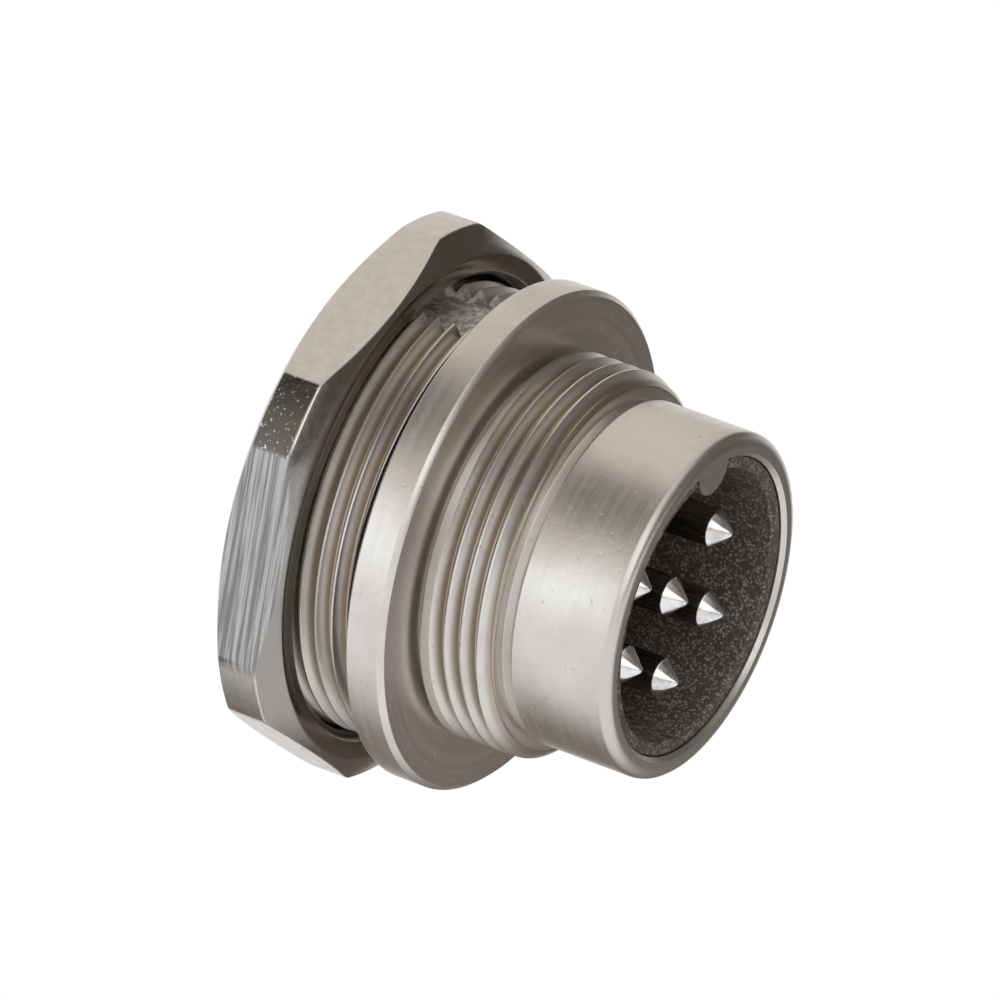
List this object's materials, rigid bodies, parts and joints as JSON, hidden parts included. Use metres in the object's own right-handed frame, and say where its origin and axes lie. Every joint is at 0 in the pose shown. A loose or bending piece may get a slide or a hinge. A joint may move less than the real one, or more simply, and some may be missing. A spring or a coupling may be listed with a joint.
{
  "type": "circular connector",
  "caption": "Panel-mount round connector plug: threaded metal shell with flange, keyed mouth with pins in a black insert, and a hexagon mounting nut.",
  "frame": {"origin": "centre of the flange's rear face, which seats on the panel", "axes": "-Y out of the mouth along the mating axis, +Z through the key, +X to the right seen from the front"},
  "size_m": [0.0224, 0.0188, 0.0232],
  "materials": {
    "nickel": "satin nickel plate on turned metal",
    "nut_metal": "satin nickel plate, drawn hexagon bar",
    "insulator": "matte black moulded plastic",
    "seal_rubber": "matte black rubber",
    "contact_metal": "bright plated"
  },
  "bodies": {
    "connector": {"shell": "nickel", "panel_seal": "seal_rubber", "contact_carrier": "insulator", "carrier_seal": "seal_rubber", "rear_insulator": "insulator", "clamp_ring": "nickel", "contact_1": "contact_metal", "contact_2": "contact_metal", "contact_3": "contact_metal", "contact_4": "contact_metal", "contact_5": "contact_metal", "contact_6": "contact_metal"},
    "nut": {"mounting_nut": "nut_metal"}
  },
  "joints": [
    {"name": "nut_travel", "type": "slide", "parent": "connector", "child": "nut", "axis": [0, 1, 0], "range_m": [-0.0022, 0.0032]}
  ]
}
